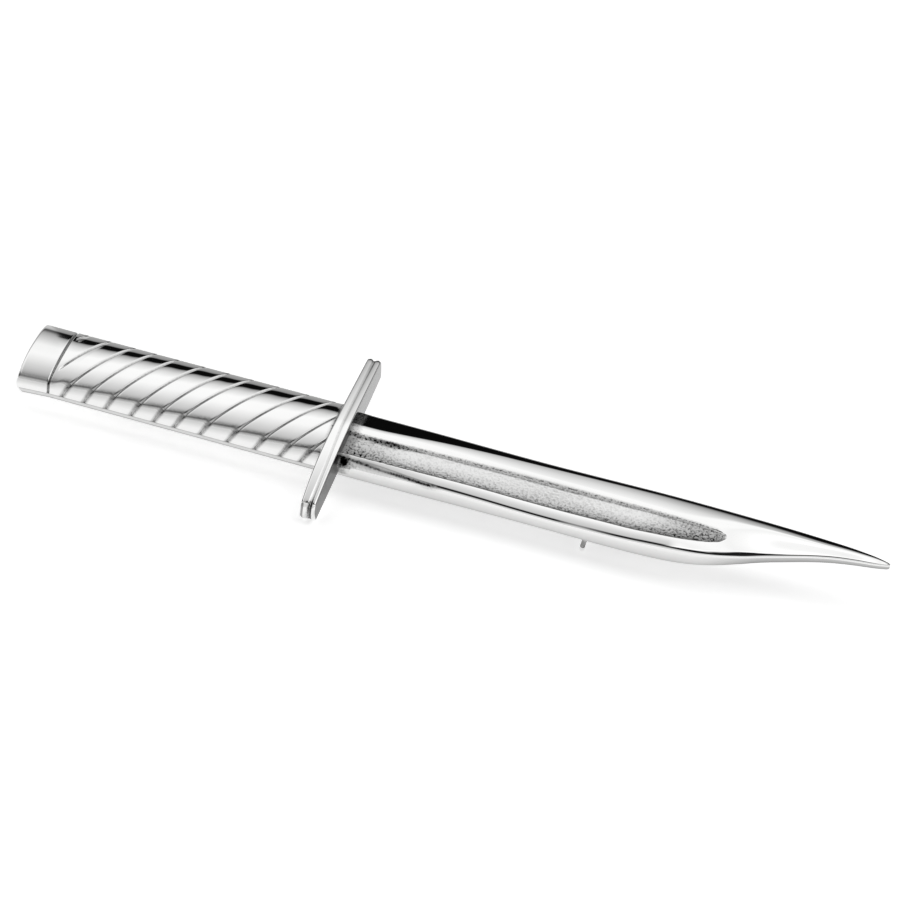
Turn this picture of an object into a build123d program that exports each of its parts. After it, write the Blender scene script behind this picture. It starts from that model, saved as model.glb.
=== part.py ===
from build123d import *
import math
import os

# A kilt pin: a flat-backed dagger cast in silver, with a hinge and a catch soldered
# to its back and a steel wire stem between them. It is drawn flat first, with X from
# the pommel to the tip, Y across and Z out of its front, and its back on z = 0. Then
# it is laid down as it rests: on its hinge, its catch and one end of its guard.

# Lengths along the pin, in millimetres
pin_length = 80.0
ring_from_end = 3.15
guard_middle_x = 29.92

# The handle: a D-shaped bar with a flat back
handle_width = 7.16
handle_height = 2.26
handle_flank = 1.30
handle_back_round = 0.35
pommel_edge_round = 0.28
pommel_round_steps = 3

# The grooves cut round the handle
groove_width = 0.30
groove_depth = 0.22
groove_above_back = 0.38
twist_lean_flank = 36.0

# Each slanted groove's place where it starts at the foot of the near flank and where it
# leaves the crown at the far side, as shares of the grip's length from the ring groove.
# They are cut by hand, so their spacing and lean vary.
twist_table = [
    # near, far
    (-0.123, 0.046),
    (-0.041, 0.128),
    (0.051, 0.220),
    (0.132, 0.300),
    (0.213, 0.384),
    (0.307, 0.481),
    (0.390, 0.575),
    (0.465, 0.664),
    (0.561, 0.758),
    (0.660, 0.869),
    (0.760, 0.967),
    (0.852, 1.061),
    (0.926, 1.135),
]

# The guard: an arched bar across the pin, with a groove along its top and ends
guard_length = 19.60
guard_base = 1.50
guard_top = 1.18
guard_end_share = 0.84
guard_height = 3.02
guard_end_height = 2.05
guard_end_round = 0.45
guard_groove_width = 0.36
guard_groove_depth = 0.24

# The blade: flat back, upright flanks, a broad far shoulder and a narrow near one
blade_width = 6.56
blade_height = 1.98
near_shoulder_width = 0.42
near_shoulder_drop = 0.24
far_shoulder_width = 1.55
far_shoulder_drop = 0.62
blade_tip_height = 0.62
blade_tip_from_far_edge = 0.36
blade_tip_lean = 14.0
far_edge_round_length = 3.76

# The blade's near edge from where it leaves the straight, as shares of the blade
# length (along) and of the blade width (across, from the near edge)
near_edge_table = [
    # along, across
    (0.545, 0.000),
    (0.612, 0.040),
    (0.666, 0.105),
    (0.714, 0.215),
    (0.762, 0.400),
    (0.812, 0.545),
    (0.862, 0.700),
    (0.914, 0.812),
    (0.967, 0.882),
]

# The blade's top line past its full height, as shares of the blade length and of
# the drop from the full height to the height at the tip
top_line_table = [
    # along, drop
    (0.640, 0.00),
    (0.720, 0.22),
    (0.800, 0.50),
    (0.880, 0.76),
    (1.000, 1.00),
]

# The fuller: a sunk channel from the guard to a rounded end
fuller_root_width = 2.93
fuller_end_width = 1.90
fuller_far_side_y = 0.33
fuller_depth = 0.42
fuller_end_x = 65.40
fuller_wall_lean = 25.0

# The hinge on the back: a foot and two ears round the stem's eye
hinge_x = 9.0
fitting_offset_y = 0.40
fitting_reach = 2.80
foot_length = 3.00
foot_thickness = 0.35
ear_thickness = 0.42
ear_radius = 1.15
eye_radius = 0.80
eye_beside_wire = 0.05
side_gap = 0.08
rivet_radius = 0.35
rivet_gap = 0.06

# The catch on the back: a foot, a round housing and the end of its lever
catch_x = 53.45
catch_length = 1.80
catch_radius = 1.20
catch_bore = 0.62
catch_neck_width = 1.10
lever_width = 0.45
lever_thickness = 0.50
lever_tip_y = -2.85

# The wire stem
stem_radius = 0.45
stem_point_radius = 0.12
stem_taper_length = 14.0
stem_past_catch = 1.70

# Worked out from the sizes above
half_handle = handle_width / 2
half_blade = blade_width / 2
half_guard = guard_length / 2
eye_thickness = 2 * (stem_radius + eye_beside_wire)
grip_length = guard_middle_x - guard_base / 2 - ring_from_end
blade_root_x = guard_middle_x
blade_length = pin_length - blade_root_x
hinge_half_width = eye_thickness / 2 + side_gap + ear_thickness
hinge_pivot_z = ear_radius - fitting_reach
hinge_near_y = fitting_offset_y - hinge_half_width
rest_angle = math.atan2(fitting_reach, half_guard + hinge_near_y)
floor_level = hinge_near_y * math.sin(rest_angle) - fitting_reach * math.cos(rest_angle)
catch_axis_z = (
    floor_level + catch_radius - fitting_offset_y * math.sin(rest_angle)
) / math.cos(rest_angle)
cut_margin = 1.0


def handle_profile(inset):
    """The D-shaped section in the YZ plane, drawn smaller all round by inset."""
    half = half_handle - inset
    flank = handle_flank
    crown = handle_height - handle_flank - inset
    corner = handle_back_round
    outline = Wire(
        [
            Edge.make_line((-half + corner, 0, 0), (half - corner, 0, 0)),
            Edge.make_three_point_arc(
                (half - corner, 0, 0),
                (half - corner * (1 - math.sqrt(0.5)), corner * (1 - math.sqrt(0.5)), 0),
                (half, corner, 0),
            ),
            Edge.make_line((half, corner, 0), (half, flank, 0)),
            Edge.make_ellipse(
                half,
                crown,
                plane=Plane((0, flank, 0)),
                start_angle=0,
                end_angle=180,
            ),
            Edge.make_line((-half, flank, 0), (-half, corner, 0)),
            Edge.make_three_point_arc(
                (-half, corner, 0),
                (-half + corner * (1 - math.sqrt(0.5)), corner * (1 - math.sqrt(0.5)), 0),
                (-half + corner, 0, 0),
            ),
        ]
    )
    return Face(outline)


def along_x(face, start, end):
    """Extrude a face drawn with its X along Y and its Y along Z, from start to end."""
    section_plane = Plane(origin=(start, 0, 0), x_dir=(0, 1, 0), z_dir=(1, 0, 0))
    return extrude(section_plane * face, end - start, dir=(1, 0, 0))


def rounded_end():
    """The first stretch of the pommel, which swells from its end face to the full section."""
    sections = []
    for step in range(pommel_round_steps + 1):
        turn = math.radians(90 * step / pommel_round_steps)
        place = pommel_edge_round * (1 - math.cos(turn))
        inset = pommel_edge_round * (1 - math.sin(turn))
        section_plane = Plane(origin=(place, 0, 0), x_dir=(0, 1, 0), z_dir=(1, 0, 0))
        sections.append(section_plane * handle_profile(inset))
    return loft(sections, ruled=True)


def box_between(low, high):
    """A box from its low corner to its high corner."""
    size = [b - a for a, b in zip(low, high)]
    centre = [(a + b) / 2 for a, b in zip(low, high)]
    return Pos(*centre) * Box(*size)


def twist_grooves(skin):
    """The slanted grooves of the grip: each climbs the near flank, crosses the crown and
    runs down the far flank. They are cut from the skin that is given."""
    bend_z = handle_flank + groove_depth
    climb = bend_z - groove_above_back
    flank_run = climb * math.tan(math.radians(twist_lean_flank))
    low_x, high_x = ring_from_end, guard_middle_x
    crown = box_between((low_x, -handle_width, bend_z), (high_x, handle_width, 2 * handle_height))
    near = box_between((low_x, -handle_width, 0), (high_x, 0, bend_z))
    far = box_between((low_x, 0, 0), (high_x, handle_width, bend_z))
    long_slab = Box(groove_width, 3 * handle_width, 4 * handle_height)
    grooves = []
    for near_share, far_share in twist_table:
        near_top = ring_from_end + near_share * grip_length + flank_run
        far_top = ring_from_end + far_share * grip_length
        lean = math.degrees(math.atan2(far_top - near_top, handle_width))
        across = Pos(near_top, -half_handle, bend_z) * Rot(Z=-lean) * long_slab
        up_near = Pos(near_top, -half_handle, bend_z) * Rot(Y=twist_lean_flank) * long_slab
        down_far = Pos(far_top, half_handle, bend_z) * Rot(Y=-twist_lean_flank) * long_slab
        for zone, slab in ((crown, across), (near, up_near), (far, down_far)):
            groove = skin & zone & slab
            if groove is not None and groove.volume > 0:
                grooves.append(groove)
    return grooves


def make_handle():
    """The plain pommel and the grooved grip, as one bar up to the guard's middle."""
    bar = along_x(handle_profile(0), pommel_edge_round, guard_middle_x)
    bar += rounded_end()
    low = (-cut_margin, -handle_width, groove_above_back)
    high = (guard_middle_x, handle_width, handle_height + cut_margin)
    core = along_x(handle_profile(groove_depth), -2 * cut_margin, guard_middle_x + cut_margin)
    skin = box_between(low, high) - core
    ring_low = (ring_from_end - groove_width / 2, -handle_width, 0)
    ring_high = (ring_from_end + groove_width / 2, handle_width, handle_height + cut_margin)
    bar -= skin & box_between(ring_low, ring_high)
    for groove in twist_grooves(skin):
        bar -= groove
    return bar


def guard_profile(inset):
    """The guard seen along X: flat below, arched above, with rounded lower corners."""
    half = half_guard - inset
    top = guard_height - inset
    end_top = guard_end_height - inset
    corner = guard_end_round
    outline = Wire(
        [
            Edge.make_line((-half + corner, 0, 0), (half - corner, 0, 0)),
            Edge.make_line((half - corner, 0, 0), (half, corner, 0)),
            Edge.make_line((half, corner, 0), (half, end_top, 0)),
            Edge.make_three_point_arc((half, end_top, 0), (0, top, 0), (-half, end_top, 0)),
            Edge.make_line((-half, end_top, 0), (-half, corner, 0)),
            Edge.make_line((-half, corner, 0), (-half + corner, 0, 0)),
        ]
    )
    return Face(outline)


def make_guard():
    """The arched bar, narrower at its top and its ends, with its groove."""
    start = guard_middle_x - guard_base / 2
    end = guard_middle_x + guard_base / 2
    bar = along_x(guard_profile(0), start, end)
    tall = guard_height + cut_margin
    lean = (guard_base - guard_top) / 2 / guard_height
    section = Polygon(
        (-guard_base / 2, 0),
        (guard_base / 2, 0),
        (guard_base / 2 - lean * tall, tall),
        (-guard_base / 2 + lean * tall, tall),
        align=None,
    )
    side_plane = Plane(origin=(guard_middle_x, 0, 0), x_dir=(1, 0, 0), z_dir=(0, -1, 0))
    bar &= extrude(side_plane * section, half_guard, both=True)
    wide = guard_base / 2
    narrow = wide * guard_end_share
    plan = Polygon(
        (-narrow, -half_guard),
        (narrow, -half_guard),
        (wide, 0),
        (narrow, half_guard),
        (-narrow, half_guard),
        (-wide, 0),
        align=None,
    )
    bar &= Pos(guard_middle_x, 0, 0) * extrude(plan, tall, dir=(0, 0, 1))
    core = along_x(guard_profile(guard_groove_depth), start - cut_margin, end + cut_margin)
    groove_low = (guard_middle_x - guard_groove_width / 2, -guard_length, guard_end_round)
    groove_high = (guard_middle_x + guard_groove_width / 2, guard_length, tall)
    return bar - (box_between(groove_low, groove_high) - core)


def blade_point(along, across):
    """A point of the blade's plan from its shares of the length and the width."""
    return (blade_root_x + along * blade_length, -half_blade + across * blade_width)


def blade_plan():
    """The blade seen from the front: a straight far edge and a near edge that sweeps up."""
    near = [blade_point(along, across) for along, across in near_edge_table]
    tip = (pin_length, half_blade - blade_tip_from_far_edge)
    tip_slope = math.tan(math.radians(blade_tip_lean))
    far_bend = (pin_length - far_edge_round_length, half_blade)
    sweep = Spline(*near, tip, tangents=[(1, 0), (1, tip_slope)])
    tip_round = TangentArc(far_bend, tip, tangent=(1, 0))
    edges = [
        Line((blade_root_x, -half_blade), near[0]),
        sweep,
        tip_round,
        Line(far_bend, (blade_root_x, half_blade)),
        Line((blade_root_x, half_blade), (blade_root_x, -half_blade)),
    ]
    return make_face(Curve() + edges)


def blade_top_line():
    """The blade seen from the side: full height, then falling to the tip."""
    drop = blade_height - blade_tip_height
    points = [(blade_root_x, 0), (blade_root_x, blade_height)]
    for along, share in top_line_table:
        points.append((blade_root_x + along * blade_length, blade_height - share * drop))
    points.append((pin_length, 0))
    return Polygon(*points, align=None)


def shoulder(width, drop, side):
    """The wedge above one long shoulder of the blade, from its top to its flank."""
    tall = 2 * blade_height
    slope = drop / width
    inner = side * (half_blade - width)
    outer = side * (half_blade + cut_margin)
    fall = slope * (width + cut_margin)
    wedge = Polygon(
        (inner, blade_height),
        (outer, blade_height - fall),
        (outer, tall),
        (inner, tall),
        align=None,
    )
    return along_x(wedge, blade_root_x - cut_margin, pin_length + cut_margin)


def fuller_outline(inset, height):
    """The channel's outline at a height: it narrows from the guard to a round end."""
    start = blade_root_x + guard_base / 4
    radius = fuller_end_width / 2 - inset
    far_y = fuller_far_side_y - inset
    near_y = fuller_far_side_y - fuller_root_width + inset
    end_x = fuller_end_x - fuller_end_width / 2
    end_near_y = far_y - 2 * radius
    outline = [
        Line((start, near_y), (end_x, end_near_y)),
        ThreePointArc((end_x, end_near_y), (end_x + radius, far_y - radius), (end_x, far_y)),
        Line((end_x, far_y), (start, far_y)),
        Line((start, far_y), (start, near_y)),
    ]
    return Pos(0, 0, height) * make_face(Curve() + outline)


def make_fuller():
    """The channel, narrower at its floor than at the blade's top."""
    wall_run = fuller_depth * math.tan(math.radians(fuller_wall_lean))
    floor = blade_height - fuller_depth
    channel = loft([fuller_outline(wall_run, floor), fuller_outline(0, blade_height)], ruled=True)
    above = extrude(fuller_outline(0, blade_height), cut_margin, dir=(0, 0, 1))
    return channel + above


def make_blade():
    """The blade with its flanks, shoulders and fuller."""
    body = extrude(blade_plan(), blade_height, dir=(0, 0, 1))
    side_plane = Plane(origin=(0, 0, 0), x_dir=(1, 0, 0), z_dir=(0, -1, 0))
    body &= extrude(side_plane * blade_top_line(), blade_width, both=True)
    body -= shoulder(near_shoulder_width, near_shoulder_drop, -1)
    body -= shoulder(far_shoulder_width, far_shoulder_drop, 1)
    return body - make_fuller()


def make_hinge():
    """The hinge's foot and its two ears, bored for the stem's rivet."""
    foot = box_between(
        (hinge_x - foot_length / 2, fitting_offset_y - hinge_half_width, -foot_thickness),
        (hinge_x + foot_length / 2, fitting_offset_y + hinge_half_width, foot_thickness),
    )
    solid = foot
    for side in (-1, 1):
        outer = fitting_offset_y + side * hinge_half_width
        inner = outer - side * ear_thickness
        low_y, high_y = sorted((outer, inner))
        cheek = box_between(
            (hinge_x - ear_radius, low_y, hinge_pivot_z),
            (hinge_x + ear_radius, high_y, 0),
        )
        middle = (low_y + high_y) / 2
        centre = Pos(hinge_x, middle, hinge_pivot_z)
        solid += cheek + centre * Rot(X=90) * Cylinder(ear_radius, ear_thickness)
    bore = Cylinder(rivet_radius + rivet_gap, 3 * hinge_half_width)
    return solid - Pos(hinge_x, fitting_offset_y, hinge_pivot_z) * Rot(X=90) * bore


def make_catch():
    """The catch's foot, neck and bored round housing, with the end of its lever."""
    start = catch_x - catch_length / 2
    end = catch_x + catch_length / 2
    foot = box_between(
        (start, fitting_offset_y - catch_radius, -foot_thickness),
        (end, fitting_offset_y + catch_radius, foot_thickness),
    )
    neck = box_between(
        (start, fitting_offset_y - catch_neck_width / 2, catch_axis_z),
        (end, fitting_offset_y + catch_neck_width / 2, 0),
    )
    centre = Pos(catch_x, fitting_offset_y, catch_axis_z)
    housing = centre * Rot(Y=90) * Cylinder(catch_radius, catch_length)
    bore = centre * Rot(Y=90) * Cylinder(catch_bore, 2 * catch_length)
    lever_round = lever_width / 2
    lever_bar = box_between(
        (catch_x - lever_round, lever_tip_y + lever_round, catch_axis_z - lever_thickness / 2),
        (catch_x + lever_round, fitting_offset_y, catch_axis_z + lever_thickness / 2),
    )
    lever_end = Pos(catch_x, lever_tip_y + lever_round, catch_axis_z) * Cylinder(
        lever_round, lever_thickness
    )
    return foot + neck + housing + lever_bar + lever_end - bore


def make_stem():
    """The wire stem: a flat eye with its rivet, a long wire and a sharpened point."""
    centre = Pos(hinge_x, fitting_offset_y, hinge_pivot_z)
    eye = centre * Rot(X=90) * Cylinder(eye_radius, eye_thickness)
    rivet = centre * Rot(X=90) * Cylinder(rivet_radius, 2 * hinge_half_width)
    run = catch_x - hinge_x
    fall = catch_axis_z - hinge_pivot_z
    direction = Vector(run, 0, fall).normalized()
    length = math.hypot(run, fall) + stem_past_catch
    start_plane = Plane(origin=(hinge_x, fitting_offset_y, hinge_pivot_z), z_dir=direction)
    wire_length = length - stem_taper_length
    wire = start_plane * Pos(0, 0, wire_length / 2) * Cylinder(stem_radius, wire_length)
    point_middle = wire_length + stem_taper_length / 2
    point = start_plane * Pos(0, 0, point_middle) * Cone(
        stem_radius, stem_point_radius, stem_taper_length
    )
    return eye + rivet + wire + point


def lay_down(pieces):
    """Turn the pieces as they rest, with the middle of their box over the origin."""
    turned = [Rot(X=math.degrees(rest_angle)) * piece for piece in pieces]
    solids = [solid for piece in turned for solid in piece.solids()]
    box = Compound(solids).bounding_box()
    shift = Pos(
        -(box.min.X + box.max.X) / 2,
        -(box.min.Y + box.max.Y) / 2,
        -box.min.Z,
    )
    return [shift * piece for piece in turned]


casting = make_handle() + make_guard() + make_blade() + make_hinge() + make_catch()
dagger, brooch_pin = lay_down([casting, make_stem()])

os.makedirs("parts", exist_ok=True)
for name, piece in (("dagger", dagger), ("brooch_pin", brooch_pin)):
    export_step(piece.solids()[0], f"parts/{name}.step")
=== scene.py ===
import math

import bpy
import numpy as np
from mathutils import Matrix, Vector, noise


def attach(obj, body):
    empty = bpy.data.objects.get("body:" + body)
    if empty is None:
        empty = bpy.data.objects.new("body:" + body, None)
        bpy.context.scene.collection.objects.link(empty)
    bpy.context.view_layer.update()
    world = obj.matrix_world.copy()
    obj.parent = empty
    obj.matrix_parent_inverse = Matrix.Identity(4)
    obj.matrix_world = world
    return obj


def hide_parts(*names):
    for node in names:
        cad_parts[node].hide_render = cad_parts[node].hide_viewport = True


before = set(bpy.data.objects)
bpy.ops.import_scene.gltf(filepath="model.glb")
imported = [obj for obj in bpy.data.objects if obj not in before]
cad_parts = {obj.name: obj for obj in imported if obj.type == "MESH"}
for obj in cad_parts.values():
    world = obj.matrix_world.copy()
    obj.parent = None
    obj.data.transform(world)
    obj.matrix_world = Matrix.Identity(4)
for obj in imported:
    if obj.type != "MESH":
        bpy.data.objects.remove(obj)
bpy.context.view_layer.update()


# The view. A long lens looks down on the pin from beside its grip, and is held a
# little turned, so that the blade runs down the picture.
mm = 0.001
camera_place = Vector((29.9, -187.9, 117.0)) * mm
camera_target = Vector((-0.35, 1.43, 4.73)) * mm
camera_roll = math.radians(10.5)
look = camera_target - camera_place
aim = look.to_track_quat("-Z", "Y").to_matrix() @ Matrix.Rotation(camera_roll, 3, "Z")
bpy.ops.object.camera_add(location=camera_place, rotation=aim.to_euler())
camera = bpy.context.object
camera.data.lens = 98.9
camera.data.sensor_width = 36.0
camera.data.clip_start = 5 * mm
bpy.context.scene.camera = camera
bpy.context.scene.view_settings.view_transform = "Standard"


# The light: a white studio tent, brightest a little behind overhead. Behind the pin hangs
# a narrow black strip above a grey wall. The front has a dark gap on either side of its
# middle, and a bright sheet above each gap.
class Signal:
    """A socket of a node tree. Sums on it add Math nodes, and node() adds any other."""

    def __init__(self, tree, socket=None):
        self.tree = tree
        self.socket = socket

    def node(self, kind, settings=(), inputs=(), output=0):
        """Add a node of this kind: its settings first, then its sockets' values or links."""
        made = self.tree.nodes.new(kind)
        for name, value in dict(settings).items():
            if name == "stops":
                self.fill_ramp(made.color_ramp, value)
            else:
                setattr(made, name, value)
        for name, value in dict(inputs).items():
            if isinstance(value, Signal):
                self.tree.links.new(value.socket, made.inputs[name])
            else:
                made.inputs[name].default_value = value
        return Signal(self.tree, made.outputs[output] if made.outputs else None)

    @staticmethod
    def fill_ramp(ramp, stops):
        """Give a ramp these stops of place and grey."""
        while len(ramp.elements) < len(stops):
            ramp.elements.new(0.5)
        for element, (place, grey) in zip(ramp.elements, stops):
            element.position = place
            element.color = (grey, grey, grey, 1)

    def part(self, name):
        """Another output of the node that this socket is on."""
        return Signal(self.tree, self.socket.node.outputs[name])

    def sum(self, operation, *others):
        """A Math node on this socket and the others, in order."""
        return self.node("ShaderNodeMath", {"operation": operation}, enumerate((self, *others)))

    def clamp(self):
        """The value kept between 0 and 1."""
        return self.node("ShaderNodeClamp", {}, {0: self})

    def __add__(self, other):
        return self.sum("ADD", other)

    def __sub__(self, other):
        return self.sum("SUBTRACT", other)

    def __rsub__(self, other):
        return self.node("ShaderNodeMath", {"operation": "SUBTRACT"}, {0: other, 1: self})

    def __mul__(self, other):
        return self.sum("MULTIPLY", other)

    def __truediv__(self, other):
        return self.sum("DIVIDE", other)

    __radd__ = __add__
    __rmul__ = __mul__


tent_brightness = 1.22
tent_light = [
    # degrees from overhead, above zero towards the camera; share of the brightness
    (-180, 0.48),
    (-98, 0.45),
    (-87, 0.40),
    (-72, 0.35),
    (-60, 0.30),
    (-56, 0.24),
    (-54, 0.003),
    (-43.5, 0.003),
    (-41.5, 0.33),
    (-35, 0.70),
    (-28, 0.97),
    (-19, 0.95),
    (-6, 0.66),
    (4, 0.50),
    (14, 0.32),
    (22, 0.32),
    (36, 0.60),
    (70, 0.71),
    (180, 0.81),
]
beside_strip = [
    # the same, to the left of where the black strip ends
    (-180, 0.62),
    (-87, 0.60),
    (-62, 0.54),
    (-57, 0.42),
    (-54, 0.10),
    (-50, 0.10),
    (-45, 0.36),
    (-35, 0.64),
    (-28, 0.90),
    (-19, 0.95),
    (-6, 0.66),
    (4, 0.50),
    (14, 0.32),
    (22, 0.32),
    (36, 0.60),
    (70, 0.71),
    (180, 0.81),
]
front_gap = [
    # the same angle, and how dark the gap at each side of the front is there
    (-180, 0.0),
    (2, 0.0),
    (9, 1.0),
    (30, 1.0),
    (38, 0.0),
    (180, 0.0),
]
front_sheet = [
    # the same angle, and how much light the sheets beside the front add there
    (-180, 0.0),
    (-24, 0.0),
    (-15, 0.04),
    (-6, 0.32),
    (0, 0.50),
    (8, 0.92),
    (14, 0.90),
    (19, 0.0),
    (180, 0.0),
]
sheet_start = 0.01
sheet_full = 0.06
left_sheet_start = -0.335
left_sheet_full = -0.37
left_sheet_share = 0.60
strip_end = -0.2962
strip_end_slant = 0.0001
strip_end_sharpness = 900
strip_behind = 53
gap_right_start = -0.17
gap_right_full = -0.11
gap_left_start = -0.45
gap_left_full = -0.52
gap_darkness = 0.97


def by_angle(table, angle):
    """Read a table of degrees and shares at an angle from -180 to 180 degrees."""
    stops = [((degrees + 180) / 360, share) for degrees, share in table]
    return angle.node("ShaderNodeValToRGB", {"stops": stops}, {0: angle / 360 + 0.5})


world = bpy.data.worlds.new("studio_tent")
bpy.context.scene.world = world
world.use_nodes = True
world.node_tree.nodes.clear()
tent = Signal(world.node_tree)
sight = tent.node("ShaderNodeTexCoord")
axes = tent.node("ShaderNodeSeparateXYZ", {}, {0: sight})
aside = axes.part("X")
angle = (axes.part("Y") * -1).sum("ARCTAN2", axes.part("Z")) * (180 / math.pi)
past_end = aside - strip_end - (angle + strip_behind) * strip_end_slant
strip = (past_end * strip_end_sharpness + 0.5).clamp()
light = by_angle(tent_light, angle) * strip + by_angle(beside_strip, angle) * (1 - strip)
right = ((aside - gap_right_start) / (gap_right_full - gap_right_start)).clamp()
left = ((aside - gap_left_start) / (gap_left_full - gap_left_start)).clamp()
light = light * (1 - by_angle(front_gap, angle) * (right + left) * gap_darkness)
sheet = ((aside - sheet_start) / (sheet_full - sheet_start)).clamp()
beside = ((aside - left_sheet_start) / (left_sheet_full - left_sheet_start)).clamp() * (1 - left)
light = light + by_angle(front_sheet, angle) * (sheet + beside * left_sheet_share)
grey = tent.node("ShaderNodeCombineColor", {}, {0: light, 1: light, 2: light})
lit = tent.node("ShaderNodeBackground", {}, {"Color": grey, "Strength": tent_brightness})
tent.node("ShaderNodeOutputWorld", {}, {"Surface": lit})


# The surface that the pin lies on: a wide sheet of pale card, evenly lit.
floor_width = 4.0
bpy.ops.mesh.primitive_plane_add(size=floor_width)
pale_floor = bpy.context.object
pale_floor.name = "pale_floor"
card = bpy.data.materials.new("pale_card")
card.use_nodes = True
card_face = card.node_tree.nodes["Principled BSDF"]
card_face.inputs["Base Color"].default_value = (0.90, 0.90, 0.90, 1)
card_face.inputs["Roughness"].default_value = 0.9
card_face.inputs["Specular IOR Level"].default_value = 0.0
card_face.inputs["Emission Color"].default_value = (1, 1, 1, 1)
card_face.inputs["Emission Strength"].default_value = 0.47
pale_floor.data.materials.append(card)


# The pommel: the plain end of the cast silver grip, a flat-backed bar with rounded
# end edges. A ring groove is turned round it where the grip's pattern begins.
merge_distance = 0.0005
half_width = 3.68
flank_height = 1.30
crown_height = 0.96
back_level = -0.10
back_round = 0.20
foot_lean = 0.07
foot_height = 0.50
foot_step = 0.07
ring_x = 3.15
seam_x = ring_x + 0.17
end_round = 0.28
end_flare = 0.24
end_dome = 0.20
low_end_dome = 0.06
low_corner = 0.40
low_corner_height = 0.95
dome_start = 0.9
dome_full = 1.6
corner = [(-3.50, 1.50), (-3.44, 1.665), (-3.29, 1.733)]
crown_start = 149
corner_line_reach = 0.22
corner_line_shift = 0.02
corner_painted_shade = 0.35
near_flare = 0.10
near_flank_y = -3
flank_shade = 0.6
flank_shade_start = 0.85
flank_shade_full = 1.60
even_start = 0.45
even_end = 2.75
ring_zone_start = 2.80
ring_reach = 0.10
ring_groove_shade = 0.9
ring_groove_shade_reach = 0.13
ring_depth = 0.16
groove_foot = 0.58
groove_fade_below = 0.12
groove_fade_above = 0.06
foot_shade_table = [
    # height, and how much painted shade darkens the silver there: at the bottom edge and at the
    # foot's step
    (-0.1, 0),
    (-0.05, 1),
    (0.08, 1),
    (0.2, 0.4),
    (0.42, 0.4),
    (0.5, 1),
    (0.56, 1),
    (0.6, 0),
]
sharp_angle = math.radians(35)


def arc(centre, radii, start, end, count):
    """Points of an ellipse's arc, from one angle to another, in degrees."""
    angles = np.radians(np.linspace(start, end, count, endpoint=False))
    return np.array(centre) + np.array(radii) * np.stack([np.cos(angles), np.sin(angles)], 1)


def run(start, end, count):
    """Points of a straight line, without its last one."""
    return np.linspace(start, end, count, endpoint=False)


def bar_outline(inset=0.0, flare=0.0, lift=0.0):
    """The bar's section across and up, from the middle of its back round the near side.

    Lift is how many degrees the corner above the near flank is moved up the crown.
    """
    half = half_width - inset
    foot = half - foot_lean
    inner = foot - back_round
    low = back_level + back_round
    flank_start = foot_height + foot_step
    round_radii = (back_round, back_round)
    crown_radii = (half, crown_height - inset)
    low_start, start = np.radians((crown_start, crown_start - lift))
    moved = np.array((half_width, crown_height)) * (
        math.cos(start) - math.cos(low_start),
        math.sin(start) - math.sin(low_start),
    )
    a, b, c = (np.array(place) + moved + (inset, -inset / 2) for place in corner)
    share = run(0, 1, 8)[:, None]
    turn = a * (1 - share) ** 2 + 2 * b * share * (1 - share) + c * share**2
    crown = arc((0, flank_height), crown_radii, crown_start - lift, 0, 84)
    outline = np.concatenate(
        [
            run((0, back_level), (-inner, back_level), 4),
            arc((-inner, low), round_radii, 270, 180, 6),
            run((-foot, low), (-foot, foot_height), 8),
            run((-foot, foot_height), (-half, flank_start), 3),
            run((-half, flank_start), a, 12),
            turn,
            run(c, crown[0], 4),
            crown,
            run((half, flank_height), (half, flank_start), 8),
            run((half, flank_start), (foot, foot_height), 3),
            run((foot, foot_height), (foot, low), 4),
            arc((inner, low), round_radii, 0, -90, 6),
            run((inner, back_level), (0, back_level), 4),
            [(0, back_level)],
        ]
    )
    near = outline[:, 0] < 0
    outline[near, 0] *= 1 + flare / half_width
    return outline


def outward(outline):
    """The directions that point out of a closed outline at each of its points."""
    ahead = np.roll(outline[:-1], -1, axis=0)
    behind = np.roll(outline[:-1], 1, axis=0)
    along = ahead - behind
    out = np.stack([-along[:, 1], along[:, 0]], 1) / np.linalg.norm(along, axis=1)[:, None]
    return np.concatenate([out, out[:1]])


def rise(low, high, value):
    """A smooth step from 0 at low to 1 at high."""
    share = np.clip((value - low) / (high - low), 0, 1)
    return share * share * (3 - 2 * share)


def skin(name, points):
    """A grid whose vertices are moved to these rows of points, each row a ring."""
    bpy.ops.object.select_all(action="DESELECT")
    rings, around = points.shape[:2]
    bpy.ops.mesh.primitive_grid_add(x_subdivisions=around - 1, y_subdivisions=rings - 1)
    piece = bpy.context.object
    piece.name = name
    piece.data.vertices.foreach_set("co", points.astype(np.float32).ravel())
    piece.data.update()
    return piece


def mark(piece, name, values):
    """Keep a number at each vertex, for the piece's material."""
    piece.data.attributes.new(name, "FLOAT", "POINT").data.foreach_set(
        "value", np.asarray(values, np.float32).ravel()
    )


def close_up(piece, cuts=()):
    """Join the seam, cut the skin at these places along the pin, and close its ends."""
    bpy.ops.object.mode_set(mode="EDIT")
    bpy.ops.mesh.select_all(action="SELECT")
    bpy.ops.mesh.remove_doubles(threshold=merge_distance)
    for place, side in cuts:
        bpy.ops.mesh.select_all(action="SELECT")
        bpy.ops.mesh.bisect(
            plane_co=(place, 0, 0),
            plane_no=(side, 0, 0),
            use_fill=True,
            clear_outer=True,
            threshold=merge_distance,
        )
    bpy.ops.mesh.select_all(action="SELECT")
    bpy.ops.mesh.fill_holes(sides=0)
    bpy.ops.mesh.select_all(action="SELECT")
    bpy.ops.mesh.normals_make_consistent(inside=False)
    bpy.ops.object.mode_set(mode="OBJECT")
    bpy.ops.object.shade_smooth_by_angle(angle=sharp_angle)


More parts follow.
